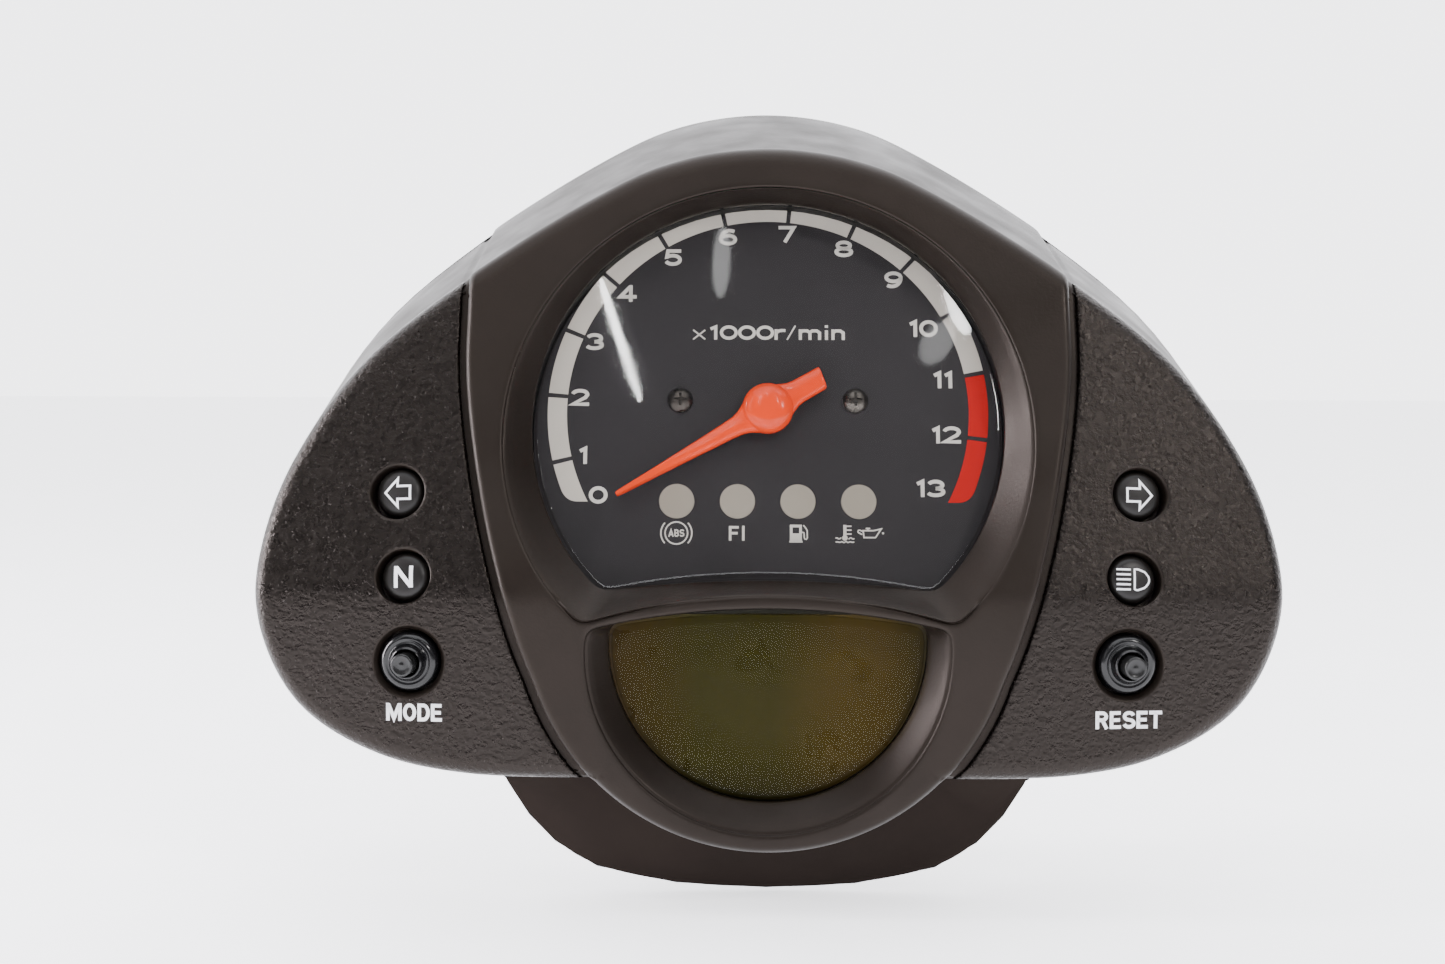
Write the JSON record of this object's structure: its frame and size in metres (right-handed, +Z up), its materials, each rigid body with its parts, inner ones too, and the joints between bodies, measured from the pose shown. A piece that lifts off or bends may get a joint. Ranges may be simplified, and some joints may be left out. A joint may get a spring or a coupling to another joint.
{
  "type": "motorcycle instrument cluster",
  "caption": "Motorcycle instrument cluster: analogue rev counter over a D-shaped display, winged housing with telltales, push buttons, rubber mounts and a rear socket.",
  "frame": {"origin": "in the middle of the bore of the lower mount", "axes": "+X to the rider's right, +Y from the face to the back, +Z up"},
  "size_m": [0.2292, 0.0848, 0.184],
  "materials": {
    "housing_face": "satin moulded plastic, leather grain on the wings",
    "housing_lower": "smooth satin moulded plastic",
    "housing_rear": "moulded plastic",
    "clear_lens": "clear gloss",
    "rubber": "smooth black rubber",
    "dial_print": "printed film, satin",
    "inner_black": "matt black",
    "needle_orange": "fluorescent orange paint",
    "steel": "plated steel",
    "magnet": "sintered ferrite",
    "bobbin": "natural nylon",
    "copper": "enamelled copper wire",
    "black_screw": "black zinc plate",
    "lamp_lens": "translucent grey",
    "telltale_lens": "smoked, satin",
    "display_glass": "olive, polarised",
    "white_plastic": "white moulded plastic",
    "contact_strip": "conductive strip",
    "board": "green solder mask",
    "light_guide": "clear moulded guide",
    "plunger_black": "gloss black",
    "switch_body": "moulded black",
    "zinc_steel": "zinc plated",
    "connector_plastic": "natural nylon",
    "pin_metal": "tinned brass"
  },
  "bodies": {
    "housing": {"front_cover": "housing_face", "rear_cover": "housing_rear", "lower_cover": "housing_lower", "tach_lens": "clear_lens", "lcd_lens": "clear_lens", "tach_seal": "rubber", "lcd_seal": "rubber", "dial_plate": "dial_print", "dial_housing": "inner_black", "motor_case": "steel", "coil_bobbin": "bobbin", "coil_inner": "copper", "coil_outer": "copper", "dial_screw_l": "black_screw", "dial_screw_r": "black_screw", "warn_lens_1": "lamp_lens", "warn_lens_2": "lamp_lens", "warn_lens_3": "lamp_lens", "warn_lens_4": "lamp_lens", "telltale_turn_l": "telltale_lens", "telltale_neutral": "telltale_lens", "telltale_turn_r": "telltale_lens", "telltale_high_beam": "telltale_lens", "lcd_panel": "display_glass", "lcd_holder": "white_plastic", "lcd_contacts": "contact_strip", "pcb": "board", "lamp_array": "white_plastic", "light_tube_l": "light_guide", "light_tube_r": "light_guide", "mode_boot": "rubber", "mode_switch": "switch_body", "reset_boot": "rubber", "reset_switch": "switch_body", "mount_cup_l": "housing_rear", "mount_cup_r": "housing_rear", "mount_cup_low": "housing_rear", "grommet_l": "rubber", "grommet_r": "rubber", "grommet_low": "rubber", "collar_l": "zinc_steel", "collar_r": "zinc_steel", "collar_low": "zinc_steel", "connector_body": "connector_plastic", "connector_pins": "pin_metal", "breather": "white_plastic", "case_screw_1": "zinc_steel", "case_screw_2": "zinc_steel", "case_screw_3": "zinc_steel", "case_screw_4": "zinc_steel", "case_screw_5": "zinc_steel", "case_screw_6": "zinc_steel"},
    "pointer": {"needle": "needle_orange", "needle_cap": "needle_orange", "motor_shaft": "steel", "rotor_magnet": "magnet"},
    "mode_button": {"mode_plunger": "plunger_black"},
    "reset_button": {"reset_plunger": "plunger_black"}
  },
  "joints": [
    {"name": "needle_turn", "type": "hinge", "parent": "housing", "child": "pointer", "pos_m": [0, -0.03521, 0.08673], "axis": [0, 0.9613, -0.2756], "range_deg": [0, 236]},
    {"name": "mode_press", "type": "slide", "parent": "housing", "child": "mode_button", "axis": [0.1045, 0.9945, 0], "range_m": [0, 0.0016], "stiffness_N_per_m": 600, "springref_m": -0.002},
    {"name": "reset_press", "type": "slide", "parent": "housing", "child": "reset_button", "axis": [-0.1045, 0.9945, 0], "range_m": [0, 0.0016], "stiffness_N_per_m": 600, "springref_m": -0.002}
  ]
}
